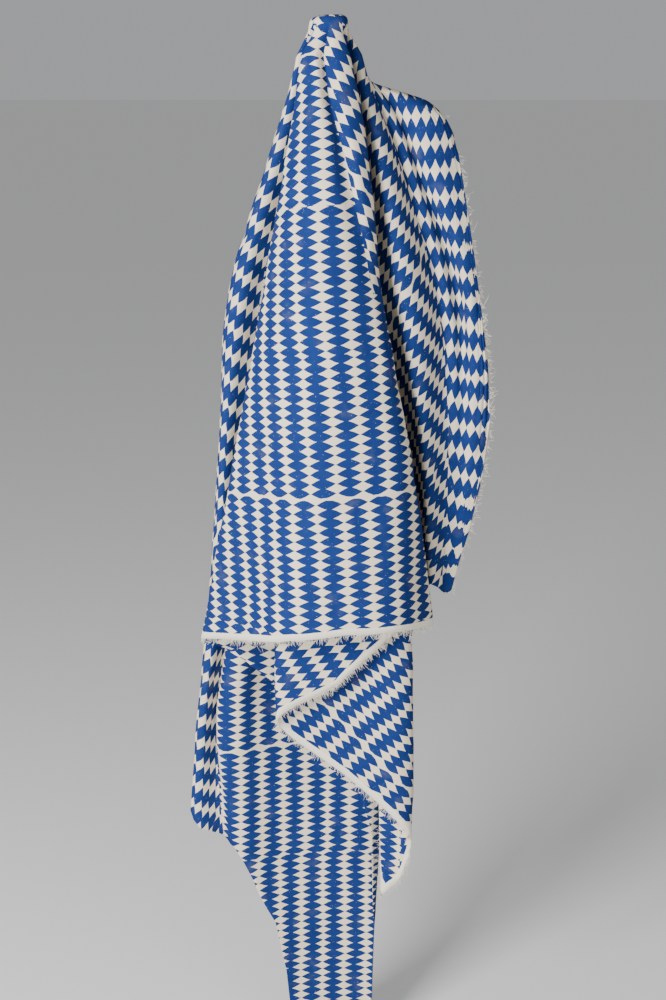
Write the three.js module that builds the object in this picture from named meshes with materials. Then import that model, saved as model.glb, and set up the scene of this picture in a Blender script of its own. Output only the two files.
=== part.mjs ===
// One length of block printed cotton, hung from a single point so that it falls in deep folds.
// Millimetres, +Z up. The origin is the top of the peak, X runs to the right of the front panel
// and Y away from it. The cloth is one closed sheet: it starts at the peak, follows its fold
// lines down, and ends at its own uneven lower edge.
import * as THREE from 'three';

// Driving dimensions
const CLOTH_THICKNESS = 1.2;
const PEAK_HALF_WIDTH = 20;      // the cloth over the hidden point it hangs from, left to right
const PEAK_HALF_DEPTH = 16;      // and front to back
const PEAK_CROWN = 9;            // height of the rounded crown
const PEAK_TILT = 0.09;          // the crown's right side stands a little higher
const FRONT_RIDGE_TURN = -104;   // degrees round the crown at which the front ridge leaves it
const PLEATS_START = 12;         // depth at which the crown begins to fold
const COLUMNS_PER_FOLD = 2;
const CROWN_DEPTHS = [0.4, 1.6, 3.8, 7, 12, 20, 30];
const ROWS_BELOW_CROWN = 16;
const ROW_SPREAD = 0.9;          // rows lie closer together near the peak on the long folds
const SHORTEST_EDGE = 100;
const SHARPEST_FOLD = 0.45;      // cosine of half the turn at which a fold's inside stops deepening

// Depths below the peak at which the fold lines are placed
const LEVELS = [40, 65, 90, 140, 300, 470, 660, 840, 1040, 1220];

// Fold lines, counter clockwise seen from above, from the front panel's left edge.
// share: how much of the crown's rim the fold takes. edge: depth of the cloth's edge there.
// places: [x, y] at each level that the fold reaches. A place below a fold's own edge only steers
// the cloth towards its longer neighbour.
const FOLDS = [
  { name: 'front left edge', share: 3.5, edge: 712,
    places: [[-28, -8], [-31.5, -4], [-35, -1], [-44, -4], [-73, 4], [-106, 12], [-143, 38],
      [-178, 63]] },
  { name: 'front left ridge', share: 4, edge: 695,
    places: [[-21, -21], [-23, -23], [-25, -25], [-31, -33], [-50, -43], [-70, -38], [-100, -10],
      [-128, 10]] },
  { name: 'front ridge', share: 3, edge: 670,
    places: [[-14, -27], [-11.5, -34.5], [-10, -41], [-12, -50], [-16, -64], [-24, -75], [-42, -76],
      [-60, -78]] },
  { name: 'front middle', share: 3, edge: 660,
    places: [[-10, -25], [-7, -31.5], [-4, -38], [3, -49], [20, -63], [26, -77], [20, -84], [16, -90]] },
  { name: 'front valley', share: 3, edge: 661,
    places: [[-5, -20], [-2, -25], [2, -30], [16, -39], [50, -49], [74, -64], [76, -71], [78, -78]] },
  { name: 'front right ridge', share: 4, edge: 667,
    places: [[8, -28], [12, -33], [16, -38], [28, -44], [56, -42], [87, -52], [104, -42], [118, -34]] },
  { name: 'front right edge', share: 6, edge: 670,
    places: [[22, -20], [27.5, -23.5], [33, -27], [42, -32], [59, -34], [91, -38], [119, -17],
      [138, 4]] },
  { name: 'front return', share: 5, edge: 655,
    places: [[18, -13], [23, -15.5], [28, -18], [36, -22], [50, -25], [79, -24], [102, -6]] },
  { name: 'second layer middle', share: 2.5, edge: 755,
    places: [[8, -15], [9, -16.5], [10, -18], [10, -21], [4, -20], [6, -18], [10, -6], [6, 0]] },
  { name: 'second layer left fold', share: 1.6, edge: 800,
    places: [[-4, -13], [-7, -14], [-10, -15], [-16, -17], [-38, -14], [-53, -8], [-62, 0], [-62, 6]] },
  { name: 'third layer left fold', share: 1.6, edge: 812,
    places: [[-4, -8], [-7, -8], [-10, -8], [-15, -7], [-37, 0], [-51, 8], [-60, 15], [-60, 21]] },
  { name: 'third layer middle', share: 1.6, edge: 885,
    places: [[6, -8], [7, -7.5], [8, -7], [8, -6], [6, 2], [12, 12], [20, 20], [24, 26]] },
  { name: 'third layer right', share: 1.6, edge: 950,
    places: [[13, -9], [15.5, -9], [18, -9], [23, -9], [32, -8], [56, 1], [78, 10], [88, 19], [90, 26]] },
  { name: 'third layer right fold', share: 1.6, edge: 975,
    places: [[19, -7], [23, -6.5], [27, -6], [35, -6], [47, -3], [76, 7], [95, 18], [102, 28],
      [102, 36]] },
  { name: 'fourth layer', share: 1.6, edge: 1040,
    places: [[16, -2], [19.5, -1], [23, 0], [30, 2], [41, 8], [66, 18], [86, 30], [93, 42], [88, 52]] },
  { name: 'fourth layer hidden fold', share: 1.6, edge: 1070,
    places: [[9, -2], [9.5, 0.5], [10, 3], [13, 8], [22, 18], [34, 30], [46, 43], [58, 56], [66, 64]] },
  { name: 'inner run', share: 1.6, edge: 880,
    places: [[10, 3], [11, 6.5], [12, 10], [17, 16], [28, 27], [44, 42], [58, 58], [66, 70]] },
  { name: 'side strip start', share: 2, edge: 645,
    places: [[21, 2], [25, 3.5], [29, 5], [38, 8], [60, 13], [92, 28], [112, 34]] },
  { name: 'side strip crest', share: 3, edge: 628,
    places: [[29, -4], [35.5, -7], [42, -10], [54, -16], [84, -20], [108, -16], [120, 4]] },
  { name: 'side strip slope', share: 2.5, edge: 634,
    places: [[35, -1], [42, 2], [51, 2], [67, -4], [108, 0], [124, 0], [127, 6]] },
  { name: 'second crevice', share: 2, edge: 640,
    places: [[31, 6], [41, 7], [53, 13], [73, 13], [121, 22], [136, 10], [131, 9]] },
  { name: 'narrow crest', share: 2, edge: 642,
    places: [[35, 9], [43, 10.5], [62, 9], [83, 8], [132, 13], [143, 8], [134, 10]] },
  { name: 'third crevice', share: 2, edge: 642,
    places: [[31, 14], [41.5, 14], [67, 19], [89, 20], [143, 28], [149, 9], [137, 11]] },
  { name: 'flap rise', share: 2, edge: 641,
    places: [[33, 17], [43, 17.5], [75, 13], [97, 9], [150, 17], [156, 6], [139, 12]] },
  { name: 'flap middle', share: 2, edge: 639,
    places: [[33, 20], [43, 20.5], [83, 10], [105, 4], [153, 10], [159, 3], [141, 13]] },
  { name: 'cut edge low', share: 2, edge: 570,
    places: [[31, 23], [42.5, 23], [91, 10], [113, 4], [158, 9], [170, 5], [150, 15]] },
  { name: 'cut edge middle', share: 2, edge: 440,
    places: [[28.5, 26], [41.5, 25.5], [98, 11], [121, 6], [163, 11], [183, 9], [158, 19]] },
  { name: 'cut edge high', share: 2, edge: 300,
    places: [[25.5, 28.5], [40, 28], [104, 13], [129, 10], [168, 14], [192, 14], [166, 24]] },
  { name: 'cut edge upper', share: 2, edge: 180,
    places: [[22, 30.5], [38.5, 31], [109, 16], [136, 14], [174, 18], [198, 20]] },
  { name: 'flap corner', share: 2, edge: 104,
    places: [[18, 32], [36.5, 34], [110, 23], [143, 20], [180, 24], [204, 26]] },
  { name: 'back shoulder', share: 2, edge: 118,
    places: [[13.5, 33], [31, 39], [91, 34], [119, 38], [156, 50]] },
  { name: 'back edge high', share: 3, edge: 200,
    places: [[9, 34], [24, 43], [56, 47], [80, 59], [122, 76]] },
  { name: 'back edge middle', share: 3, edge: 400,
    places: [[4, 35], [17, 46], [34, 53], [54, 73], [92, 94], [112, 104]] },
  { name: 'back edge low', share: 3, edge: 640,
    places: [[-2, 35], [8, 48], [16, 56], [30, 80], [60, 112], [84, 122], [98, 130]] },
  { name: 'back right', share: 3, edge: 800,
    places: [[-8, 34], [-5, 45], [-2, 57], [4, 84], [20, 124], [40, 140], [56, 150], [64, 148]] },
  { name: 'back middle', share: 3, edge: 885,
    places: [[-14, 31], [-17, 42.5], [-20, 54], [-24, 80], [-20, 126], [-16, 148], [-10, 160],
      [-10, 156]] },
  { name: 'back left', share: 3, edge: 935,
    places: [[-20, 26], [-26, 36], [-32, 46], [-44, 66], [-66, 110], [-72, 134], [-76, 148],
      [-84, 146]] },
  { name: 'wing back', share: 3, edge: 962,
    places: [[-27, 20], [-34.5, 28], [-42, 36], [-58, 51], [-100, 76], [-113, 98], [-130, 116],
      [-146, 120], [-150, 122]] },
  { name: 'wing outline', share: 2.5, edge: 964,
    places: [[-33, 9], [-39, 16], [-46, 22], [-63, 28], [-113, 42], [-128, 66], [-145, 84], [-165, 92],
      [-184, 98]] },
  { name: 'wing face', share: 3.5, edge: 986,
    places: [[-31, 2], [-36, 6.5], [-42, 10], [-57, 13], [-100, 24], [-121, 42], [-134, 66], [-158, 84],
      [-168, 92]] },
  { name: 'left crevice', share: 2.4, edge: 1004,
    places: [[-26, 3], [-29.5, 8], [-33, 13], [-43, 19], [-77, 38], [-100, 55], [-115, 86], [-142, 102],
      [-134, 106]] },
  { name: 'tail left fold', share: 2.4, edge: 1015,
    places: [[-21, 7], [-23.5, 12], [-26, 17], [-34, 26], [-58, 46], [-84, 52], [-108, 76], [-138, 86],
      [-118, 94]] },
  { name: 'tail ridge', share: 1.6, edge: 1060,
    places: [[-16, 11], [-18, 17], [-20, 23], [-26, 35], [-46, 58], [-68, 66], [-92, 72], [-116, 82],
      [-100, 96]] },
  { name: 'tail valley', share: 1.6, edge: 1130,
    places: [[-11, 16], [-12, 22.5], [-13, 29], [-17, 44], [-32, 72], [-48, 86], [-68, 98], [-84, 100],
      [-78, 104], [-62, 106]] },
  { name: 'tail left', share: 1.6, edge: 1280,
    places: [[-5, 20], [-5, 28], [-5, 36], [-5, 52], [-14, 84], [-24, 98], [-40, 112], [-50, 110],
      [-46, 112], [-50, 110]] },
  { name: 'tail middle', share: 1.6, edge: 1295,
    places: [[1, 23], [2.5, 31], [4, 39], [6, 57], [6, 90], [6, 106], [0, 121], [-6, 118], [-6, 118],
      [-12, 116]] },
  { name: 'tail right', share: 1.6, edge: 1292,
    places: [[8, 24], [10, 32.5], [12, 41], [18, 59], [28, 92], [36, 108], [38, 124], [38, 120],
      [34, 120], [24, 118]] },
  { name: 'tail right fold', share: 1.6, edge: 1285,
    places: [[15, 22], [18, 30], [22, 38], [34, 56], [50, 88], [60, 104], [64, 122], [69, 118], [65, 118],
      [57, 116]] },
  { name: 'tail return', share: 1.6, edge: 1000,
    places: [[13, 14], [16.5, 21], [20, 28], [30, 44], [44, 74], [52, 90], [56, 106], [58, 104],
      [54, 104]] },
  { name: 'hidden run', share: 1.6, edge: 840,
    places: [[0, 9], [0, 15], [0, 21], [2, 34], [2, 62], [0, 78], [-6, 92], [-6, 96]] },
  { name: 'hidden left run', share: 1.6, edge: 735,
    places: [[-15, 0], [-18.5, 3.5], [-22, 7], [-28, 11], [-52, 26], [-84, 34], [-110, 60], [-120, 70]] },
];

const COUNT = FOLDS.length;
const COLUMNS = COUNT * COLUMNS_PER_FOLD;
const ROWS = CROWN_DEPTHS.length + ROWS_BELOW_CROWN;
const wrap = (i) => (i + COUNT) % COUNT;

// Where each fold leaves the crown, as an angle round it
const shareTotal = FOLDS.reduce((sum, fold) => sum + fold.share, 0);
let shareSoFar = 0;
for (const fold of FOLDS) {
  fold.turn = 360 * (shareSoFar + fold.share / 2) / shareTotal;
  shareSoFar += fold.share;
}
const turnShift = FRONT_RIDGE_TURN - FOLDS.find((fold) => fold.name === 'front ridge').turn;

// A smooth curve through values at given stations, level past both ends
function smoothAlong(stations, values, at) {
  const last = values.length - 1;
  if (at <= stations[0]) return values[0];
  if (at >= stations[last]) return values[last];
  const slope = (i) => {
    const before = Math.max(i - 1, 0);
    const after = Math.min(i + 1, last);
    return (values[after] - values[before]) / (stations[after] - stations[before]);
  };
  let i = 0;
  while (at > stations[i + 1]) i += 1;
  const span = stations[i + 1] - stations[i];
  const t = (at - stations[i]) / span;
  const t2 = t * t;
  const t3 = t2 * t;
  return (2 * t3 - 3 * t2 + 1) * values[i] + (t3 - 2 * t2 + t) * span * slope(i)
    + (3 * t2 - 2 * t3) * values[i + 1] + (t3 - t2) * span * slope(i + 1);
}

// Plan place of one fold line at a depth below the peak
function foldPlace(fold, depth) {
  const x = smoothAlong(LEVELS, fold.places.map((place) => place[0]), depth);
  const y = smoothAlong(LEVELS, fold.places.map((place) => place[1]), depth);
  const top = LEVELS[0];
  if (depth >= top) return new THREE.Vector3(x, y, 0);
  // Above the first level the folds run together into the rounded crown
  const turn = THREE.MathUtils.degToRad(fold.turn + turnShift);
  const closing = Math.max(0, 1 - depth / PEAK_CROWN);
  const crown = Math.cbrt(1 - closing ** 3);
  const rim = new THREE.Vector3(PEAK_HALF_WIDTH * Math.cos(turn), PEAK_HALF_DEPTH * Math.sin(turn), 0);
  const pleated = Math.max(0, (depth - PLEATS_START) / (top - PLEATS_START));
  return rim.lerp(new THREE.Vector3(x, y, 0), pleated).multiplyScalar(crown);
}

// A point of the cloth: column round the folds, depth below the peak
function clothPoint(column, depth) {
  const at = column / COLUMNS_PER_FOLD;
  const first = Math.floor(at);
  const near = [-1, 0, 1, 2].map((step) => foldPlace(FOLDS[wrap(first + step)], depth));
  const curve = new THREE.CatmullRomCurve3(near, false, 'centripetal');
  const place = curve.getPoint((1 + at - first) / 3);
  const lift = PEAK_TILT * place.x * Math.max(0, 1 - depth / LEVELS[0]);
  return new THREE.Vector3(place.x, place.y, lift - depth);
}

// Depth of the cloth's edge at a column
function edgeDepth(column) {
  const at = column / COLUMNS_PER_FOLD;
  const first = Math.floor(at);
  return THREE.MathUtils.lerp(FOLDS[first].edge, FOLDS[wrap(first + 1)].edge, at - first);
}

// Rows start close together on the crown, then share out the drop to the edge
function rowDepth(row, edge) {
  if (row < CROWN_DEPTHS.length) return CROWN_DEPTHS[row];
  const start = CROWN_DEPTHS[CROWN_DEPTHS.length - 1];
  const t = (row - CROWN_DEPTHS.length + 1) / ROWS_BELOW_CROWN;
  return start + (edge - start) * t ** (1 + ROW_SPREAD * (1 - SHORTEST_EDGE / edge));
}

// The cloth's outer face as a grid of points, row by row, and the two faces joined at the edge
function clothGeometry() {
  const outer = [];
  for (let row = 0; row < ROWS; row += 1) {
    for (let column = 0; column < COLUMNS; column += 1) {
      outer.push(clothPoint(column, rowDepth(row, edgeDepth(column))));
    }
  }
  const at = (row, column) => row * COLUMNS + (column + COLUMNS) % COLUMNS;
  const top = outer.length;
  outer.push(new THREE.Vector3(0, 0, 0));

  const faces = [];
  for (let column = 0; column < COLUMNS; column += 1) {
    faces.push([top, at(0, column), at(0, column + 1)]);
    for (let row = 1; row < ROWS; row += 1) {
      const [a, b] = [at(row - 1, column), at(row - 1, column + 1)];
      const [c, d] = [at(row, column), at(row, column + 1)];
      // The shorter diagonal keeps the cloth smooth where its rows run aslant
      if (outer[a].distanceTo(outer[d]) < outer[b].distanceTo(outer[c])) {
        faces.push([a, c, d], [a, d, b]);
      } else {
        faces.push([a, c, b], [b, c, d]);
      }
    }
  }

  // Every point goes in so far that both sides of a sharp fold keep the cloth's thickness
  const facing = outer.map(() => new THREE.Vector3());
  const turned = outer.map(() => 0);
  for (const face of faces) {
    const [a, b, c] = face.map((i) => outer[i]);
    const normal = b.clone().sub(a).cross(c.clone().sub(a)).normalize();
    face.forEach((i, corner) => {
      const ahead = outer[face[(corner + 1) % 3]].clone().sub(outer[i]);
      const behind = outer[face[(corner + 2) % 3]].clone().sub(outer[i]);
      const angle = ahead.angleTo(behind);
      facing[i].addScaledVector(normal, angle);
      turned[i] += angle;
    });
  }
  const inner = outer.map((point, i) => {
    const mean = facing[i].divideScalar(turned[i]);
    const reach = CLOTH_THICKNESS / Math.max(mean.lengthSq(), SHARPEST_FOLD ** 2);
    return point.clone().addScaledVector(mean, -reach);
  });

  const shift = outer.length;
  const shell = faces.flat();
  for (const [a, b, c] of faces) shell.push(shift + a, shift + c, shift + b);
  const rim = ROWS - 1;
  for (let column = 0; column < COLUMNS; column += 1) {
    const [a, b] = [at(rim, column), at(rim, column + 1)];
    shell.push(a, shift + a, b, b, shift + a, shift + b);
  }

  const geometry = new THREE.BufferGeometry();
  const positions = [...outer, ...inner].flatMap((point) => point.toArray());
  geometry.setAttribute('position', new THREE.Float32BufferAttribute(positions, 3));
  geometry.setIndex(shell);
  geometry.computeVertexNormals();
  return geometry;
}

const printedCotton = new THREE.MeshStandardMaterial({ color: 0x8296b8, roughness: 0.9, metalness: 0 });
const cloth = new THREE.Mesh(clothGeometry(), printedCotton);
cloth.name = 'printed_cloth';

const group = new THREE.Group();
group.add(cloth);

export default group;
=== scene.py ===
"""A length of block printed cotton, hung from one point in deep folds. Metres in the frame of the
CAD model; the fold lines are given in millimetres, as in the part's source."""
import math
from collections import namedtuple

import bmesh
import bpy
import numpy as np
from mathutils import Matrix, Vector


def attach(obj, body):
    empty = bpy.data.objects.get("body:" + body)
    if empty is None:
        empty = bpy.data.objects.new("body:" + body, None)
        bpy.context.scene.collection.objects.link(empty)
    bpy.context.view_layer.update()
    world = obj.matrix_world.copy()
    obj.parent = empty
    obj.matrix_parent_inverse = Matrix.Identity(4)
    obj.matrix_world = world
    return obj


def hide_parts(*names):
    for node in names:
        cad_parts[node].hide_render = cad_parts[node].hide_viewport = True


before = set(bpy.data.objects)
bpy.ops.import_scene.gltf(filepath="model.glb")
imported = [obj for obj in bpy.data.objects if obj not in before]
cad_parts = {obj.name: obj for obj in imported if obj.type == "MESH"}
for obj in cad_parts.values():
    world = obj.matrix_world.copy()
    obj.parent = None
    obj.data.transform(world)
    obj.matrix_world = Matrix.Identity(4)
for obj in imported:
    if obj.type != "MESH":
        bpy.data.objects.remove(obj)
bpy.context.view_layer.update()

MM = 0.001

# Camera: the photograph's angle, 15 degrees down, on its upright frame
LENS = 54
FILM_HEIGHT = 36
CAMERA_PLACE = (0.005, -1.655, -0.084)
CAMERA_PITCH = 75

# The cloth's fold lines, as in the part's source. The levels are depths below the peak at which
# their places are given.
PEAK_HALF_WIDTH = 20
PEAK_HALF_DEPTH = 16
PEAK_CROWN = 9
PEAK_TILT = 0.09
FRONT_RIDGE_TURN = -104
PLEATS_START = 12
ROW_SPREAD = 0.9
SHORTEST_EDGE = 100
OPEN_LEVELS = (40, 90, 140, 300, 470, 660, 840, 1040, 1220)
PLEAT_LEVEL = 65
LEVELS = OPEN_LEVELS[:1] + (PLEAT_LEVEL,) + OPEN_LEVELS[1:]
PLACE_STEP = 0.5           # a place that is worked out is rounded to this
CROWN_DEPTHS = (0, 0.15, 0.4, 0.9, 1.6, 2.6, 3.8, 5.2, 7, 9.2, 12, 15, 18.5, 22, 26, 30)
ROWS_BELOW_CROWN = 150
COLUMN_WIDTH = 7.5
SHEET_THICKNESS = 0.8

TOUCHING = 1e-4            # folds closer than this count as one
EDGE_ROWS = 4              # rows up from the edge that show how the cloth runs into it
SHORTEST = 1e-6            # no length is divided by less
NO_EDGE = 1000             # distance to the free edge where none is near
JOIN_DISTANCE = 1e-6       # in metres

# A fold's share of the crown, the depth of its edge, and its places at every level but the pleats'.
# pleat is its place there, given where the tightest pleats would otherwise run into each other. A
# place below a fold's own edge only steers the cloth towards its longer neighbour.
Fold = namedtuple("Fold", "name share edge places pleat", defaults=(None,))
FOLD_LINES = [
    Fold("front left edge", 3.5, 712, ((-28, -8), (-35, -1), (-44, -4), (-73, 4), (-106, 12),
         (-143, 38), (-178, 63))),
    Fold("front left ridge", 4, 695, ((-21, -21), (-25, -25), (-31, -33), (-50, -43), (-70, -38),
         (-100, -10), (-128, 10))),
    Fold("front ridge", 3, 670, ((-14, -27), (-10, -41), (-12, -50), (-16, -64), (-24, -75),
         (-42, -76), (-60, -78))),
    Fold("front middle", 3, 660, ((-10, -25), (-4, -38), (3, -49), (20, -63), (26, -77), (20, -84),
         (16, -90))),
    Fold("front valley", 3, 661, ((-5, -20), (2, -30), (16, -39), (50, -49), (74, -64), (76, -71),
         (78, -78))),
    Fold("front right ridge", 4, 667, ((8, -28), (16, -38), (28, -44), (56, -42), (87, -52),
         (104, -42), (118, -34))),
    Fold("front right edge", 6, 670, ((22, -20), (33, -27), (42, -32), (59, -34), (91, -38),
         (119, -17), (138, 4))),
    Fold("front return", 5, 655, ((18, -13), (28, -18), (36, -22), (50, -25), (79, -24), (102, -6))),
    Fold("second layer middle", 2.5, 755, ((8, -15), (10, -18), (10, -21), (4, -20), (6, -18),
         (10, -6), (6, 0))),
    Fold("second layer left fold", 1.6, 800, ((-4, -13), (-10, -15), (-16, -17), (-38, -14), (-53, -8),
         (-62, 0), (-62, 6))),
    Fold("third layer left fold", 1.6, 812, ((-4, -8), (-10, -8), (-15, -7), (-37, 0), (-51, 8),
         (-60, 15), (-60, 21))),
    Fold("third layer middle", 1.6, 885, ((6, -8), (8, -7), (8, -6), (6, 2), (12, 12), (20, 20),
         (24, 26))),
    Fold("third layer right", 1.6, 950, ((13, -9), (18, -9), (23, -9), (32, -8), (56, 1), (78, 10),
         (88, 19), (90, 26))),
    Fold("third layer right fold", 1.6, 975, ((19, -7), (27, -6), (35, -6), (47, -3), (76, 7),
         (95, 18), (102, 28), (102, 36))),
    Fold("fourth layer", 1.6, 1040, ((16, -2), (23, 0), (30, 2), (41, 8), (66, 18), (86, 30), (93, 42),
         (88, 52))),
    Fold("fourth layer hidden fold", 1.6, 1070, ((9, -2), (10, 3), (13, 8), (22, 18), (34, 30),
         (46, 43), (58, 56), (66, 64))),
    Fold("inner run", 1.6, 880, ((10, 3), (12, 10), (17, 16), (28, 27), (44, 42), (58, 58), (66, 70))),
    Fold("side strip start", 2, 645, ((21, 2), (29, 5), (38, 8), (60, 13), (92, 28), (112, 34))),
    Fold("side strip crest", 3, 628, ((29, -4), (42, -10), (54, -16), (84, -20), (108, -16), (120, 4))),
    Fold("side strip slope", 2.5, 634, ((35, -1), (51, 2), (67, -4), (108, 0), (124, 0),
         (127, 6)), (42, 2)),
    Fold("second crevice", 2, 640, ((31, 6), (53, 13), (73, 13), (121, 22), (136, 10),
         (131, 9)), (41, 7)),
    Fold("narrow crest", 2, 642, ((35, 9), (62, 9), (83, 8), (132, 13), (143, 8), (134, 10)), (43, 10.5)),
    Fold("third crevice", 2, 642, ((31, 14), (67, 19), (89, 20), (143, 28), (149, 9),
         (137, 11)), (41.5, 14)),
    Fold("flap rise", 2, 641, ((33, 17), (75, 13), (97, 9), (150, 17), (156, 6), (139, 12)), (43, 17.5)),
    Fold("flap middle", 2, 639, ((33, 20), (83, 10), (105, 4), (153, 10), (159, 3),
         (141, 13)), (43, 20.5)),
    Fold("cut edge low", 2, 570, ((31, 23), (91, 10), (113, 4), (158, 9), (170, 5),
         (150, 15)), (42.5, 23)),
    Fold("cut edge middle", 2, 440, ((28.5, 26), (98, 11), (121, 6), (163, 11), (183, 9),
         (158, 19)), (41.5, 25.5)),
    Fold("cut edge high", 2, 300, ((25.5, 28.5), (104, 13), (129, 10), (168, 14), (192, 14),
         (166, 24)), (40, 28)),
    Fold("cut edge upper", 2, 180, ((22, 30.5), (109, 16), (136, 14), (174, 18), (198, 20)), (38.5, 31)),
    Fold("flap corner", 2, 104, ((18, 32), (110, 23), (143, 20), (180, 24), (204, 26)), (36.5, 34)),
    Fold("back shoulder", 2, 118, ((13.5, 33), (91, 34), (119, 38), (156, 50)), (31, 39)),
    Fold("back edge high", 3, 200, ((9, 34), (56, 47), (80, 59), (122, 76)), (24, 43)),
    Fold("back edge middle", 3, 400, ((4, 35), (34, 53), (54, 73), (92, 94), (112, 104)), (17, 46)),
    Fold("back edge low", 3, 640, ((-2, 35), (16, 56), (30, 80), (60, 112), (84, 122),
         (98, 130)), (8, 48)),
    Fold("back right", 3, 800, ((-8, 34), (-2, 57), (4, 84), (20, 124), (40, 140), (56, 150), (64, 148))),
    Fold("back middle", 3, 885, ((-14, 31), (-20, 54), (-24, 80), (-20, 126), (-16, 148), (-10, 160),
         (-10, 156))),
    Fold("back left", 3, 935, ((-20, 26), (-32, 46), (-44, 66), (-66, 110), (-72, 134), (-76, 148),
         (-84, 146))),
    Fold("wing back", 3, 962, ((-27, 20), (-42, 36), (-58, 51), (-100, 76), (-113, 98), (-130, 116),
         (-146, 120), (-150, 122))),
    Fold("wing outline", 2.5, 964, ((-33, 9), (-46, 22), (-63, 28), (-113, 42), (-128, 66), (-145, 84),
         (-165, 92), (-184, 98))),
    Fold("wing face", 3.5, 986, ((-31, 2), (-42, 10), (-57, 13), (-100, 24), (-121, 42), (-134, 66),
         (-158, 84), (-168, 92))),
    Fold("left crevice", 2.4, 1004, ((-26, 3), (-33, 13), (-43, 19), (-77, 38), (-100, 55), (-115, 86),
         (-142, 102), (-134, 106))),
    Fold("tail left fold", 2.4, 1015, ((-21, 7), (-26, 17), (-34, 26), (-58, 46), (-84, 52),
         (-108, 76), (-138, 86), (-118, 94))),
    Fold("tail ridge", 1.6, 1060, ((-16, 11), (-20, 23), (-26, 35), (-46, 58), (-68, 66), (-92, 72),
         (-116, 82), (-100, 96))),
    Fold("tail valley", 1.6, 1130, ((-11, 16), (-13, 29), (-17, 44), (-32, 72), (-48, 86), (-68, 98),
         (-84, 100), (-78, 104), (-62, 106))),
    Fold("tail left", 1.6, 1280, ((-5, 20), (-5, 36), (-5, 52), (-14, 84), (-24, 98), (-40, 112),
         (-50, 110), (-46, 112), (-50, 110))),
    Fold("tail middle", 1.6, 1295, ((1, 23), (4, 39), (6, 57), (6, 90), (6, 106), (0, 121), (-6, 118),
         (-6, 118), (-12, 116))),
    Fold("tail right", 1.6, 1292, ((8, 24), (12, 41), (18, 59), (28, 92), (36, 108), (38, 124),
         (38, 120), (34, 120), (24, 118))),
    Fold("tail right fold", 1.6, 1285, ((15, 22), (22, 38), (34, 56), (50, 88), (60, 104), (64, 122),
         (69, 118), (65, 118), (57, 116))),
    Fold("tail return", 1.6, 1000, ((13, 14), (20, 28), (30, 44), (44, 74), (52, 90), (56, 106),
         (58, 104), (54, 104))),
    Fold("hidden run", 1.6, 840, ((0, 9), (0, 21), (2, 34), (2, 62), (0, 78), (-6, 92), (-6, 96))),
    Fold("hidden left run", 1.6, 735, ((-15, 0), (-22, 7), (-28, 11), (-52, 26), (-84, 34), (-110, 60),
         (-120, 70))),
]
NAMES = [fold.name for fold in FOLD_LINES]

# Areas of the cloth that are printed in one lie: first and last fold, and where the print's long
# rows point on the picture (degrees up from level) at one fold and depth. shift moves the print
# along its rows and across them there. A later area lies over an earlier one down to its end, and
# one that ends at WHOLE reaches past the longest edge.
WHOLE = 1400
Area = namedtuple("Area", "first last end fold depth turn shift")
AREAS = [
    Area("front left edge", "front return", WHOLE, "front ridge", 503, 5, (-10, 0)),
    Area("front valley", "front return", 285, "front right ridge", 170, -50, (4, 0)),
    Area("front return", "third layer left fold", WHOLE, "second layer middle", 700, 28, (0, 40)),
    Area("third layer left fold", "fourth layer", WHOLE, "third layer right", 800, -48, (0, 60)),
    Area("fourth layer", "side strip start", WHOLE, "fourth layer", 900, 40, (0, 0)),
    Area("side strip start", "second crevice", WHOLE, "side strip crest", 250, 58, (0, 30)),
    Area("second crevice", "back shoulder", WHOLE, "cut edge middle", 380, 84, (6, 10)),
    Area("back shoulder", "wing back", WHOLE, "back middle", 500, 88, (0, 0)),
    Area("wing back", "left crevice", WHOLE, "wing face", 420, 70, (0, 50)),
    Area("left crevice", "hidden run", WHOLE, "tail middle", 800, 0, (0, 70)),
    Area("hidden run", "front left edge", WHOLE, "hidden left run", 400, 0, (0, 0)),
]

# Soft creases besides the folds: from one fold to another, at a depth that runs aslant by rise
# over their width. Each is pushed out by height, or in where it is below 0, and fades over reach
# above and below its line.
Crease = namedtuple("Crease", "first last depth rise reach height")
CREASES = [
    Crease("wing back", "left crevice", 232, 26, 9, -2.2),
    Crease("wing back", "left crevice", 262, 30, 14, 1.4),
    Crease("tail ridge", "tail right fold", 1107, -14, 8, -1.6),
    Crease("tail ridge", "tail right fold", 1124, -20, 9, 1.5),
    Crease("tail valley", "tail right", 1168, 16, 8, -1.8),
    Crease("tail valley", "tail right", 1190, 10, 12, 1.2),
    Crease("front left ridge", "front middle", 300, 60, 22, 1.0),
    Crease("flap rise", "cut edge high", 420, -40, 14, -1.6),
    Crease("cut edge low", "cut edge high", 380, -30, 18, 1.8),
    Crease("side strip crest", "second crevice", 330, 60, 16, 1.2),
    Crease("third layer middle", "third layer right fold", 760, 60, 14, 1.0),
]


def smooth_along(stations, values, at):
    """A smooth curve through values at given stations, level past both ends."""
    stations = np.array(stations[:len(values)], float)
    values = np.array(values, float)
    at = np.clip(at, stations[0], stations[-1])
    before = np.maximum(np.arange(len(values)) - 1, 0)
    after = np.minimum(np.arange(len(values)) + 1, len(values) - 1)
    slope = (values[after] - values[before]) / (stations[after] - stations[before])
    i = np.clip(np.searchsorted(stations, at) - 1, 0, len(values) - 2)
    span = stations[i + 1] - stations[i]
    t = (at - stations[i]) / span
    return ((2 * t**3 - 3 * t**2 + 1) * values[i] + (t**3 - 2 * t**2 + t) * span * slope[i]
            + (3 * t**2 - 2 * t**3) * values[i + 1] + (t**3 - t**2) * span * slope[i + 1])


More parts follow.
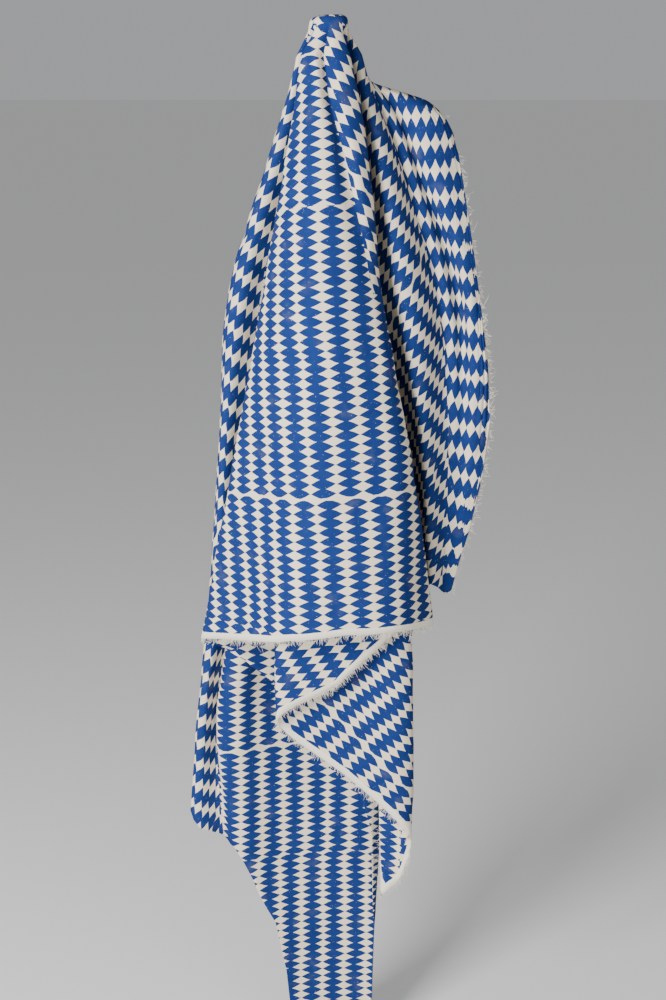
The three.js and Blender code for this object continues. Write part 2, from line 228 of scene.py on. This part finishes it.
def with_pleat(fold):
    """A fold with its place at the pleats' level too: the one given, or else the nearest step to
    its own curve."""
    place = fold.pleat or tuple(round(smooth_along(OPEN_LEVELS, line, PLEAT_LEVEL) / PLACE_STEP)
                                * PLACE_STEP for line in zip(*fold.places))
    return fold._replace(places=fold.places[:1] + (place,) + fold.places[1:])


FOLDS = [with_pleat(fold) for fold in FOLD_LINES]


def fold_turns():
    """Where each fold leaves the crown, as an angle round it in degrees."""
    shares = np.array([fold.share for fold in FOLDS])
    turns = 360 * (np.cumsum(shares) - shares / 2) / shares.sum()
    return turns + FRONT_RIDGE_TURN - turns[NAMES.index("front ridge")]


TURNS = fold_turns()


def fold_place(number, depth):
    """Plan place of one fold line at depths below the peak."""
    number %= len(FOLDS)
    places = np.array(FOLDS[number].places, float)
    x = smooth_along(LEVELS, places[:, 0], depth)
    y = smooth_along(LEVELS, places[:, 1], depth)
    turn = math.radians(TURNS[number])
    closing = np.maximum(0, 1 - depth / PEAK_CROWN)
    crown = np.where(depth < LEVELS[0], np.cbrt(1 - closing**3), 1)
    pleated = np.clip((depth - PLEATS_START) / (LEVELS[0] - PLEATS_START), 0, 1)
    rim = np.array([PEAK_HALF_WIDTH * math.cos(turn), PEAK_HALF_DEPTH * math.sin(turn)])
    place = np.stack([x, y], -1)
    return (rim + (place - rim) * pleated[:, None]) * crown[:, None]


def between_folds(first, share, depth):
    """The cloth between two fold lines: a centripetal curve through four neighbours."""
    p = [fold_place(first + step, depth) for step in (-1, 0, 1, 2)]
    gap = [np.sum((p[i + 1] - p[i])**2, -1)[:, None]**0.25 for i in range(3)]
    gap[1] = np.where(gap[1] < TOUCHING, 1, gap[1])
    gap[0] = np.where(gap[0] < TOUCHING, gap[1], gap[0])
    gap[2] = np.where(gap[2] < TOUCHING, gap[1], gap[2])
    out = (p[1] - p[0]) / gap[0] - (p[2] - p[0]) / (gap[0] + gap[1]) + (p[2] - p[1]) / gap[1]
    into = (p[2] - p[1]) / gap[1] - (p[3] - p[1]) / (gap[1] + gap[2]) + (p[3] - p[2]) / gap[2]
    out, into = out * gap[1], into * gap[1]
    return (p[1] + out * share + (3 * (p[2] - p[1]) - 2 * out - into) * share**2
            + (2 * (p[1] - p[2]) + out + into) * share**3)


def row_depths(edge):
    """Rows lie close together on the crown and share out the drop to the edge."""
    crown = np.array(CROWN_DEPTHS, float)
    t = np.arange(1, ROWS_BELOW_CROWN + 1) / ROWS_BELOW_CROWN
    spread = t**(1 + ROW_SPREAD * (1 - SHORTEST_EDGE / edge))
    return np.concatenate([crown, crown[-1] + (edge - crown[-1]) * spread])


def cloth_columns():
    """For each column the fold before it and its share of the way to the next, and the first
    column of every fold."""
    columns = []
    starts = []
    for number, fold in enumerate(FOLDS):
        after = FOLDS[(number + 1) % len(FOLDS)]
        level = min(len(fold.places), len(after.places)) - 1
        width = np.hypot(*np.subtract(after.places[level], fold.places[level]))
        count = max(2, round(width / COLUMN_WIDTH))
        starts.append(len(columns))
        columns += [(number, step / count) for step in range(count)]
    return columns, starts


COLUMNS, STARTS = cloth_columns()
WIDTH = len(COLUMNS)


def column_of(name, after=0):
    """First column of a fold, counted on past the start of the round where needed."""
    column = STARTS[NAMES.index(name)]
    return column + WIDTH if column < after else column


def edge_of(column):
    """Depth of the cloth's edge at a column."""
    number, share = COLUMNS[column % WIDTH]
    return FOLDS[number].edge * (1 - share) + FOLDS[(number + 1) % len(FOLDS)].edge * share


def place_at(column, depth):
    """The cloth's outer face at one column and a line of depths below the peak."""
    number, share = COLUMNS[column % WIDTH]
    place = between_folds(number, share, depth)
    lift = PEAK_TILT * place[:, 0] * np.maximum(0, 1 - depth / LEVELS[0])
    return np.column_stack([place, lift - depth])


DEPTHS = np.stack([row_depths(edge_of(column)) for column in range(WIDTH)], 1)
POINTS = np.stack([place_at(column, DEPTHS[:, column]) for column in range(WIDTH)], 1)
ROWS = len(POINTS)


def length_along(points, axis):
    """Distance travelled along one axis of a grid of points."""
    steps = np.linalg.norm(np.diff(points, axis=axis), axis=-1)
    still = np.zeros_like(np.take(steps, [0], axis=axis))
    return np.cumsum(np.concatenate([still, steps], axis=axis), axis=axis)


# An area is laid flat on rows of its own, close together at the peak and then a step apart, with
# springs to the next points, the slanting ones and the next but one. Every third row and column
# settles first.
FLAT_TOP = (0, 2, 5, 9, 14, 20, 28, 38, 50, 62)
FLAT_STEP = 11
SPRINGS = ((0, 1), (1, 0), (1, 1), (1, -1), (0, 2), (2, 0))
SPRING_PULL = 0.5
KEPT_SPEED = 0.92
COARSE_STEP = 3
COARSE_ROUNDS = 1200
FINE_ROUNDS = 260


def pair(grid, step):
    """The two ends of every spring that runs a given number of rows and columns."""
    down, across = step
    rows = len(grid) - down
    if across >= 0:
        return grid[:rows, :grid.shape[1] - across], grid[down:, across:]
    return grid[:rows, -across:], grid[down:, :across]


def settle(flat, points, there, rounds):
    """Moves a flat grid until its springs are as long as on the hung cloth. Springs hold only
    where there is cloth at both ends."""
    wanted = []
    holds = []
    count = np.zeros(flat.shape[:2] + (1,))
    for step in SPRINGS:
        start, end = pair(points, step)
        wanted.append(np.linalg.norm(end - start, axis=-1))
        start, end = pair(there, step)
        holds.append((start & end).astype(float))
        for side in pair(count, step):
            side[..., 0] += holds[-1]
    count = np.maximum(count, 1)
    speed = np.zeros_like(flat)
    for _ in range(rounds):
        move = np.zeros_like(flat)
        for step, length, hold in zip(SPRINGS, wanted, holds):
            start, end = pair(flat, step)
            gap = end - start
            now = np.maximum(np.linalg.norm(gap, axis=-1), SHORTEST)
            fix = gap * (SPRING_PULL * hold * (1 - length / now))[..., None]
            start_move, end_move = pair(move, step)
            start_move += fix
            end_move -= fix
        speed = KEPT_SPEED * speed + move / count
        flat = flat + speed
    return flat


def thinned(count, step):
    """Every so many-th number of a count, with the last."""
    keep = list(range(0, count, step))
    return keep if keep[-1] == count - 1 else keep + [count - 1]


def lay_flat(columns):
    """Flat places in millimetres of one area, settled on even depths, coarse first and then
    fine, and read off at the cloth's own rows."""
    edges = np.array([edge_of(column) for column in columns])
    below = np.arange(FLAT_TOP[-1] + FLAT_STEP, edges.max() + FLAT_STEP + 1, FLAT_STEP)
    levels = np.concatenate([FLAT_TOP, below])
    points = np.stack([place_at(column, levels) for column in columns], 1)
    there = levels[:, None] <= edges[None] + FLAT_STEP
    middle = len(columns) // 2
    across = length_along(points * [1, 1, 0], 1)
    flat = np.zeros(points.shape[:2] + (2,))
    flat[:, :, 0] = across - across[:, middle:middle + 1]
    flat[:, :, 1] = -length_along(points[:, middle:middle + 1], 0)
    rows = thinned(len(levels), COARSE_STEP)
    some = thinned(len(columns), COARSE_STEP)
    coarse = np.ix_(rows, some)
    moved = settle(flat[coarse], points[coarse], there[coarse], COARSE_ROUNDS) - flat[coarse]
    every_row = np.arange(len(levels))
    every_column = np.arange(len(columns))
    for axis in range(2):
        down = np.stack([np.interp(every_row, rows, moved[:, i, axis])
                         for i in range(len(some))], 1)
        flat[:, :, axis] += np.stack([np.interp(every_column, some, line) for line in down])
    flat = settle(flat, points, there, FINE_ROUNDS)
    lie = np.zeros((ROWS, len(columns), 2))
    for i, column in enumerate(columns):
        for axis in range(2):
            lie[:, i, axis] = np.interp(DEPTHS[:, column % WIDTH], levels, flat[:, i, axis])
    return lie


def turned(flat, columns, area):
    """Turns and moves an area's flat places so that its rows point as the print lies there."""
    column = columns.index(column_of(area.fold, columns[0]))
    row = int(np.searchsorted(DEPTHS[:, columns[column] % WIDTH], area.depth))
    points = POINTS[:, [c % WIDTH for c in columns]]
    grid = np.stack([points[row, column + 1] - points[row, column - 1],
                     points[row + 1, column] - points[row - 1, column]], 1)
    lie = np.stack([flat[row, column + 1] - flat[row, column - 1],
                    flat[row + 1, column] - flat[row - 1, column]], 1)
    angle = math.radians(area.turn)
    share = np.linalg.solve(grid[[0, 2]], [math.cos(angle), math.sin(angle)])
    along = lie @ share
    along /= np.linalg.norm(along)
    spin = np.array([along, [-along[1], along[0]]])
    return (flat - flat[row, column]) @ spin.T + area.shift


def area_lies():
    """For each area its columns and flat places."""
    lies = []
    for area in AREAS:
        first = column_of(area.first)
        columns = list(range(first, column_of(area.last, first) + 1))
        lies.append((columns, turned(lay_flat(columns), columns, area)))
    return lies


def edge_gaps():
    """Distance of every point to the cloth's free edge, straight across the cloth."""
    rest = length_along(POINTS[::-1], 0)[::-1]
    along = np.roll(POINTS[-1], -1, 0) - np.roll(POINTS[-1], 1, 0)
    down = POINTS[-1] - POINTS[-EDGE_ROWS]
    sine = np.linalg.norm(np.cross(along, down), axis=-1)
    sine /= np.linalg.norm(along, axis=-1) * np.linalg.norm(down, axis=-1)
    return rest * sine


def outward():
    """Direction straight out of the cloth at every point."""
    across = np.roll(POINTS, -1, 1) - np.roll(POINTS, 1, 1)
    down = np.gradient(POINTS, axis=0)
    straight = np.cross(across, down)
    straight /= np.maximum(np.linalg.norm(straight, axis=-1), SHORTEST)[..., None]
    return -straight


# Small wrinkles all over the cloth: height, length of a bump and seed. They grow with the depth,
# from almost none at the peak. Each kind is a sum of waves whose lengths vary.
Wrinkle = namedtuple("Wrinkle", "height length seed")
WRINKLES = (Wrinkle(0.8, 60, 3), Wrinkle(0.35, 24, 5))
WRINKLES_START = 15
WRINKLES_RISE = 90
LEAST_WRINKLES = 0.12
WAVES = 14
WAVE_LENGTHS = (0.7, 1.5)
WAVE_STARTS = (0, 6.3)
HIGHEST_SUM = 5


def ripples(points, length, seed):
    """A smooth uneven height from about -1 to 1, with bumps of one length in millimetres."""
    chance = np.random.default_rng(seed)
    height = np.zeros(points.shape[:2])
    for _ in range(WAVES):
        way = chance.normal(size=3)
        way /= np.linalg.norm(way)
        pace = 2 * math.pi / (length * chance.uniform(*WAVE_LENGTHS))
        height += np.sin(points @ (way * pace) + chance.uniform(*WAVE_STARTS))
    return height / HIGHEST_SUM


def crumpled():
    """The cloth's points with its small wrinkles and soft creases."""
    height = sum(wrinkle.height * ripples(POINTS, wrinkle.length, wrinkle.seed)
                 for wrinkle in WRINKLES)
    height *= np.clip((DEPTHS - WRINKLES_START) / WRINKLES_RISE, LEAST_WRINKLES, 1)
    for crease in CREASES:
        first = column_of(crease.first)
        last = column_of(crease.last, first)
        for column in range(first, last + 1):
            share = (column - first) / (last - first)
            line = crease.depth + crease.rise * (share - 0.5)
            near = np.exp(-((DEPTHS[:, column % WIDTH] - line) / crease.reach)**2)
            height[:, column % WIDTH] += crease.height * math.sin(math.pi * share) * near
    return POINTS + outward() * height[..., None]


LIES = area_lies()
GAPS = edge_gaps()
HEM_LAST = column_of("inner run")
CLOTH = crumpled()


def new_piece(name, mesh, finish):
    """Writes a bmesh as a smooth shaded piece at the origin, with its material."""
    data = bpy.data.meshes.new(name)
    mesh.to_mesh(data)
    mesh.free()
    for face in data.polygons:
        face.use_smooth = True
    data.materials.append(finish)
    piece = bpy.data.objects.new(name, data)
    bpy.context.collection.objects.link(piece)
    return piece


def area_of_faces():
    """For each row and column of faces the number of the area printed there."""
    numbers = np.zeros((ROWS - 1, WIDTH), int)
    for number, (area, (columns, _)) in enumerate(zip(AREAS, LIES)):
        for column in columns[:-1]:
            above = DEPTHS[:-1, column % WIDTH] < area.end
            numbers[above, column % WIDTH] = number
    return numbers


def make_cloth(finish):
    """The cloth itself: a grid bent round its folds, closed down the seam column and at the peak,
    with the flat lie of the print and the distance to the free edge."""
    mesh = bmesh.new()
    bmesh.ops.create_grid(mesh, x_segments=WIDTH, y_segments=ROWS - 1, size=1)
    lie_layer = mesh.loops.layers.uv.new("print")
    gap_layer = mesh.verts.layers.float.new("edge_gap")
    places = {}
    for vert in mesh.verts:
        column = round((vert.co.x + 1) / 2 * WIDTH)
        row = round((1 - vert.co.y) / 2 * (ROWS - 1))
        places[vert] = (row, column)
    printed = area_of_faces()
    for face in mesh.faces:
        column = min(places[vert][1] for vert in face.verts)
        number = printed[min(places[vert][0] for vert in face.verts), column]
        columns, flat = LIES[number]
        first = columns[0] if column >= columns[0] else columns[0] - WIDTH
        for loop in face.loops:
            row, at = places[loop.vert]
            loop[lie_layer].uv = flat[row, at - first] * MM
    for vert, (row, column) in places.items():
        vert.co = Vector(CLOTH[row, column % WIDTH]) * MM
        hemmed = column % WIDTH <= HEM_LAST
        vert[gap_layer] = GAPS[row, column % WIDTH] if hemmed else NO_EDGE
    bmesh.ops.remove_doubles(mesh, verts=mesh.verts, dist=JOIN_DISTANCE)
    bmesh.ops.recalc_face_normals(mesh, faces=mesh.faces)
    piece = new_piece("cotton_cloth", mesh, finish)
    body = piece.modifiers.new("thickness", "SOLIDIFY")
    body.thickness = SHEET_THICKNESS * MM
    body.offset = -1
    return piece


# Loose threads along the cloth's free edge, from one fold to another: their spacing and usual
# length, how far they stray sideways and how much they hang down
Fray = namedtuple("Fray", "first last spacing length stray hang")
HEM_FRAYS = [
    Fray("front left edge", "second layer middle", 0.9, 6.6, 0.45, 0.5),
    Fray("second layer middle", "fourth layer", 0.9, 6.4, 0.5, 0.6),
    Fray("fourth layer", "inner run", 1.6, 5.4, 0.4, 0.5),
]
CUT_FRAYS = [
    Fray("third crevice", "cut edge low", 1.2, 6.5, 0.5, 0.6),
    Fray("cut edge low", "flap corner", 0.8, 8.5, 0.8, 0.2),
    Fray("flap corner", "back shoulder", 0.9, 7.0, 0.7, 0.2),
    Fray("back shoulder", "back left", 2.2, 6.0, 0.6, 0.3),
    Fray("tail left", "tail right fold", 1.2, 5.0, 0.5, 0.8),
]
HEM_SEED = 11
CUT_SEED = 12
THREAD_HALF_WIDTH = 0.27
THREAD_TIP = 0.5           # share of its width that a thread keeps at its tip
THREAD_BENDS = 3
THREAD_SIDES = 4
THREAD_ROOT = 0.8          # how far inside the edge a thread starts
THREAD_LENGTHS = (0.35, 1.25)
THREAD_SPACINGS = (0.4, 1.6)
LONG_SHARE = 0.06
LONG_THREAD = 1.6
LEAN_OUT = 0.3             # how far threads lean out of the cloth's face
CURL_ALONG = 0.5
CURL_OUT = 0.4
CURL_DOWN = 0.5
CURL_REACH = 0.6
ASKEW = 0.3                # keeps a thread's sides off its own direction
NO_LENGTH = 1e-9


def unit(vector):
    """A vector's direction, one long."""
    return vector / max(np.linalg.norm(vector), NO_LENGTH)


def edge_spots(fray, chance):
    """Places along the free edge where threads start: root, straight out of the cloth's edge, and
    along it."""
    first = column_of(fray.first)
    last = column_of(fray.last, first)
    columns = [column % WIDTH for column in range(first, last + 1)]
    rim = CLOTH[-1, columns]
    inner = CLOTH[-EDGE_ROWS, columns]
    face = outward()[-1, columns]
    travelled = length_along(rim, 0)
    spots = []
    place = 0.0
    while place < travelled[-1]:
        i = min(int(np.searchsorted(travelled, place, side="right")) - 1, len(columns) - 2)
        share = (place - travelled[i]) / max(travelled[i + 1] - travelled[i], SHORTEST)
        root = rim[i] + (rim[i + 1] - rim[i]) * share - face[i] * SHEET_THICKNESS / 2
        along = unit(rim[i + 1] - rim[i])
        away = unit(np.cross(along, face[i]))
        away *= 1 if away @ (rim[i] - inner[i]) > 0 else -1
        spots.append((root, away, along, face[i]))
        place += fray.spacing * chance.uniform(*THREAD_SPACINGS)
    return spots


def thread_ends(name, frays, seed, finish):
    """Short bent ends of yarn standing out of the frayed edge."""
    chance = np.random.default_rng(seed)
    spots = [(fray, spot) for fray in frays for spot in edge_spots(fray, chance)]
    mesh = bmesh.new()
    bmesh.ops.create_cone(mesh, cap_ends=True, segments=THREAD_SIDES, radius1=1,
                          radius2=THREAD_TIP, depth=1)
    sides = [edge for edge in mesh.edges if abs(edge.verts[0].co.z - edge.verts[1].co.z) > 0.5]
    bmesh.ops.subdivide_edges(mesh, edges=sides, cuts=THREAD_BENDS)
    pattern = [vert.co.copy() for vert in mesh.verts]
    while len(mesh.verts) < len(pattern) * len(spots):
        bmesh.ops.duplicate(mesh, geom=mesh.verts[:] + mesh.edges[:] + mesh.faces[:])
    spare = mesh.verts[:][len(pattern) * len(spots):]
    bmesh.ops.delete(mesh, geom=spare, context="VERTS")
    verts = iter(mesh.verts)
    for fray, (root, away, along, face) in spots:
        length = fray.length * chance.uniform(*THREAD_LENGTHS)
        length *= LONG_THREAD if chance.random() < LONG_SHARE else 1
        way = unit(away + along * chance.normal(0, fray.stray) + face * chance.normal(0, LEAN_OUT)
                   + np.array([0, 0, -fray.hang]))
        bend = (along * chance.normal(0, CURL_ALONG) + face * chance.normal(0, CURL_OUT)
                - np.array([0, 0, CURL_DOWN * fray.hang])) * length * CURL_REACH
        side = unit(np.cross(way, face + along * ASKEW))
        other = np.cross(way, side)
        start = root - away * THREAD_ROOT
        for spot in pattern:
            share = spot.z + 0.5
            place = (start + way * length * share + bend * share**2
                     + (side * spot.x + other * spot.y) * THREAD_HALF_WIDTH)
            next(verts).co = Vector(place) * MM
    return new_piece(name, mesh, finish)


class Value:
    """A socket of a finish, on which Python's operators add Math nodes."""

    def __init__(self, finish, socket):
        self.finish = finish
        self.socket = socket

    def __add__(self, other):
        return self.finish.maths("ADD", self, other)

    def __sub__(self, other):
        return self.finish.maths("SUBTRACT", self, other)

    def __rsub__(self, other):
        return self.finish.maths("SUBTRACT", other, self)

    def __mul__(self, other):
        return self.finish.maths("MULTIPLY", self, other)

    def __truediv__(self, other):
        return self.finish.maths("DIVIDE", self, other)

    def __pow__(self, other):
        return self.finish.maths("POWER", self, other)

    def __abs__(self):
        return self.finish.maths("ABSOLUTE", self)

    __radd__ = __add__
    __rmul__ = __mul__


MATT = 0.95
FAINT_SHINE = 0.12
RELIEF_SHARE = 0.6


class Finish:
    """One material, built node by node."""

    def __init__(self, name):
        self.material = bpy.data.materials.new(name)
        self.material.use_nodes = True
        self.tree = self.material.node_tree
        self.tree.nodes.clear()

    def node(self, kind, settings, sockets, output=0):
        """Adds a node: its settings first, then the values or links of its sockets."""
        node = self.tree.nodes.new(kind)
        for setting, value in settings.items():
            setattr(node, setting, value)
        for socket, value in sockets.items():
            if isinstance(value, Value):
                self.tree.links.new(value.socket, node.inputs[socket])
            else:
                node.inputs[socket].default_value = value
        return Value(self, node.outputs[output]) if len(node.outputs) else node

    def maths(self, operation, *values):
        """One Math node on values or numbers."""
        return self.node("ShaderNodeMath", {"operation": operation}, dict(enumerate(values)))

    def rise(self, value, low, high):
        """0 below low, 1 above high, smooth between."""
        return self.node("ShaderNodeMapRange", {"interpolation_type": "SMOOTHSTEP"},
                         {"Value": value, "From Min": low, "From Max": high})

    def noise(self, place, scale, detail=2.0):
        """Soft noise round 0, from about -0.5 to 0.5."""
        return self.node("ShaderNodeTexNoise", {"noise_dimensions": "3D"},
                         {"Vector": place, "Scale": scale, "Detail": detail}) - 0.5

    def chance(self, x, y):
        """A number from -0.5 to 0.5 for each whole place."""
        place = self.node("ShaderNodeCombineXYZ", {}, {"X": x, "Y": y})
        number = self.node("ShaderNodeTexWhiteNoise", {"noise_dimensions": "2D"},
                           {"Vector": place})
        return number - 0.5

    def blend(self, share, under, over):
        """One colour laid over another."""
        return self.node("ShaderNodeMix", {"data_type": "RGBA"}, {0: share, 6: under, 7: over}, 2)

    def cloth_surface(self, colour, relief, depth):
        """A matt surface with a fine relief; depth is in metres."""
        bump = self.node("ShaderNodeBump", {}, {"Height": relief, "Strength": RELIEF_SHARE,
                                                "Distance": depth})
        surface = self.node("ShaderNodeBsdfPrincipled", {},
                            {"Base Color": colour, "Roughness": MATT, "Normal": bump,
                             "Specular IOR Level": FAINT_SHINE})
        self.node("ShaderNodeOutputMaterial", {}, {"Surface": surface})
        return self.material


# The print, in millimetres: a row of lozenges repeats along its long way, rows lie one under the
# other, and a hand block prints fifteen rows. The band along the hem is left bare.
LONG_PITCH = 28.6
ROW_PITCH = 10.4
BLOCK = 15 * ROW_PITCH
BAND = 7.5
TIP = 0.41                 # half a lozenge's length, as a share of its pitch
WAIST = 0.524              # half its width, as a share of the rows' pitch
BLOCK_ASIDE = 4.2          # how far a printing may sit off its neighbour along the rows
BLOCK_AHEAD = 1.1          # and across them
WIDEST_JOIN = 1.1          # half the widest bare line between two printings
SOFT_LINE = 0.3            # half the width over which the ink ends at a join or the band
WANDER = 4                 # how far the rows wave
OTHER_DRAW = 31            # numbers that keep the chances drawn for one lozenge apart
CHAIN_DRAW = 57.0

CREAM = (0.80, 0.71, 0.54, 1)
BAND_CREAM = (0.86, 0.80, 0.67, 1)
BLUE = (0.012, 0.036, 0.165, 1)
DEEP_BLUE = (0.008, 0.024, 0.12, 1)
WEAVE_SHADE = (0.42, 0.38, 0.33, 1)

# Height of the surfaces' relief, in metres
CLOTH_RELIEF = 0.0008
YARN_RELIEF = 0.0002

# How fine each unevenness of the print and the yarn is, as bumps to a metre
WAVES_A_METRE = 22
WORN_A_METRE = 34
TONES_A_METRE = 60
HAND_A_METRE = 170
DYED_A_METRE = 260
RAGGED_A_METRE = 420
SPECKS_A_METRE = 760
THREADS_A_METRE = 900
FIBRES_A_METRE = 1200


def printed_cotton():
    """Plain weave cotton, block printed in blue so that rows of pointed lozenges stay bare."""
    finish = Finish("printed_cotton")
    lie = finish.node("ShaderNodeUVMap", {"uv_map": "print"}, {})
    parts = finish.node("ShaderNodeSeparateXYZ", {}, {"Vector": lie})
    u = parts * (1 / MM)
    v = Value(finish, parts.socket.node.outputs[1]) * (1 / MM)
    wave = finish.noise(lie, WAVES_A_METRE, 1.0) * WANDER
    hand = finish.noise(lie, HAND_A_METRE)
    ragged = finish.noise(lie, RAGGED_A_METRE)
    # Each printing of the block sits a little off its neighbour
    block = finish.maths("FLOOR", (v + wave * 0.4) / BLOCK)
    aside = finish.maths("SINE", block * 1.9 + 0.32) * BLOCK_ASIDE
    ahead = finish.maths("SINE", block * 2.6 + 4.7) * BLOCK_AHEAD
    x = (u + aside + wave * 0.5 + hand * 1.5) / LONG_PITCH
    y = (v + ahead + hand * 0.5) / ROW_PITCH
    cell_x = finish.maths("ROUND", x)
    cell_y = finish.maths("ROUND", y)
    chance = finish.chance(cell_x, cell_y)
    other_chance = finish.chance(cell_y, cell_x + OTHER_DRAW)
    chain_chance = finish.chance(cell_x, CHAIN_DRAW)
    a = abs(x - cell_x + other_chance * 0.035)
    b = abs(y - cell_y)
    tip = TIP + chance * 0.05 + chain_chance * 0.05
    waist = WAIST + other_chance * 0.024
    lozenge = a / tip + (b / waist) ** (0.80 + chain_chance * 0.14) + ragged * 0.05
    blue = finish.rise(lozenge, 0.965, 1.035)
    # A wavy bare line stays open where two printings don't quite meet
    join = finish.maths("ROUND", (v + wave * 0.4) / BLOCK)
    apart = abs(v + wave * 0.4 - join * BLOCK + hand * 2.4)
    width = finish.maths("SINE", join * 2.1 + 1.57) * WIDEST_JOIN + 0.05
    line = finish.rise(apart, width - SOFT_LINE, width + SOFT_LINE)
    gap = finish.node("ShaderNodeAttribute", {"attribute_name": "edge_gap"}, {}, 2)
    band = finish.rise(gap + hand * 1.2 + ragged * 0.8, BAND - SOFT_LINE, BAND + SOFT_LINE)
    specks = finish.rise(finish.noise(lie, SPECKS_A_METRE, 1.0), 0.24, 0.28)
    worn = finish.rise(finish.noise(lie, WORN_A_METRE, 5.0), 0.05, 0.32) * 0.06
    ink = blue * line * band * (1 - specks * 0.7) * (1 - worn)
    tone = finish.rise(finish.noise(lie, TONES_A_METRE, 4.0) + ragged * 0.5, -0.3, 0.3)
    paint = finish.blend(tone * 0.7, BLUE, DEEP_BLUE)
    ground = finish.blend(band, BAND_CREAM, CREAM)
    threads = finish.node("ShaderNodeTexNoise", {"noise_dimensions": "3D"},
                          {"Vector": lie, "Scale": THREADS_A_METRE, "Detail": 2.0})
    ground = finish.blend(finish.rise(threads, 0.35, 0.75) * 0.12, ground, WEAVE_SHADE)
    colour = finish.blend(ink, ground, paint)
    return finish.cloth_surface(colour, hand * 0.8 + threads * 0.35, CLOTH_RELIEF)


def thread_finish():
    """Bare cream yarn, here and there with the print's blue on it."""
    finish = Finish("yarn_ends")
    place = finish.node("ShaderNodeTexCoord", {}, {}, 3)
    dyed = finish.rise(finish.noise(place, DYED_A_METRE, 1.0), 0.06, 0.12)
    colour = finish.blend(dyed * 0.35, BAND_CREAM, BLUE)
    return finish.cloth_surface(colour, finish.noise(place, FIBRES_A_METRE, 1.0), YARN_RELIEF)


cloth = make_cloth(printed_cotton())
yarn = thread_finish()
hem_fray = thread_ends("hem_fray", HEM_FRAYS, HEM_SEED, yarn)
cut_fray = thread_ends("cut_edge_fray", CUT_FRAYS, CUT_SEED, yarn)
for piece in (cloth, hem_fray, cut_fray):
    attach(piece, "root")
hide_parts("printed_cloth")

# The camera
lens = bpy.data.cameras.new("camera")
lens.sensor_fit = "VERTICAL"
lens.sensor_height = FILM_HEIGHT
lens.lens = LENS
camera = bpy.data.objects.new("camera", lens)
camera.location = CAMERA_PLACE
camera.rotation_euler = (math.radians(CAMERA_PITCH), 0, 0)
bpy.context.collection.objects.link(camera)
bpy.context.scene.camera = camera

# The studio: a pale floor just below the tail, two soft lights and an even pale surround
FLOOR_SIZE = 2000
FLOOR_LEVEL = -1.31
FLOOR_COLOUR = (0.90, 0.90, 0.89, 1)
PAPER_RELIEF = 0.0001
Light = namedtuple("Light", "name place aim size power")
LIGHTS = (Light("key_light", (-1.3, -1.7, 0.1), (0, 0, -0.5), 0.9, 92),
          Light("fill_light", (1.2, -2.4, 0.2), (0, 0, -0.6), 1.8, 14))
SURROUND = (0.9, 0.91, 0.93, 1)
SURROUND_STRENGTH = 0.42

bpy.ops.mesh.primitive_plane_add(size=FLOOR_SIZE, location=(0, 0, FLOOR_LEVEL))
floor = bpy.context.object
floor.name = "floor"
paper = Finish("floor_paper")
paper.cloth_surface(FLOOR_COLOUR, 0.0, PAPER_RELIEF)
floor.data.materials.append(paper.material)

for light in LIGHTS:
    lamp_data = bpy.data.lights.new(light.name, "AREA")
    lamp_data.size = light.size
    lamp_data.energy = light.power
    lamp = bpy.data.objects.new(light.name, lamp_data)
    lamp.location = light.place
    lamp.rotation_euler = (Vector(light.aim) - lamp.location).to_track_quat("-Z", "Y").to_euler()
    bpy.context.collection.objects.link(lamp)

world = bpy.data.worlds.new("studio")
world.use_nodes = True
surround = world.node_tree.nodes["Background"]
surround.inputs["Color"].default_value = SURROUND
surround.inputs["Strength"].default_value = SURROUND_STRENGTH
bpy.context.scene.world = world
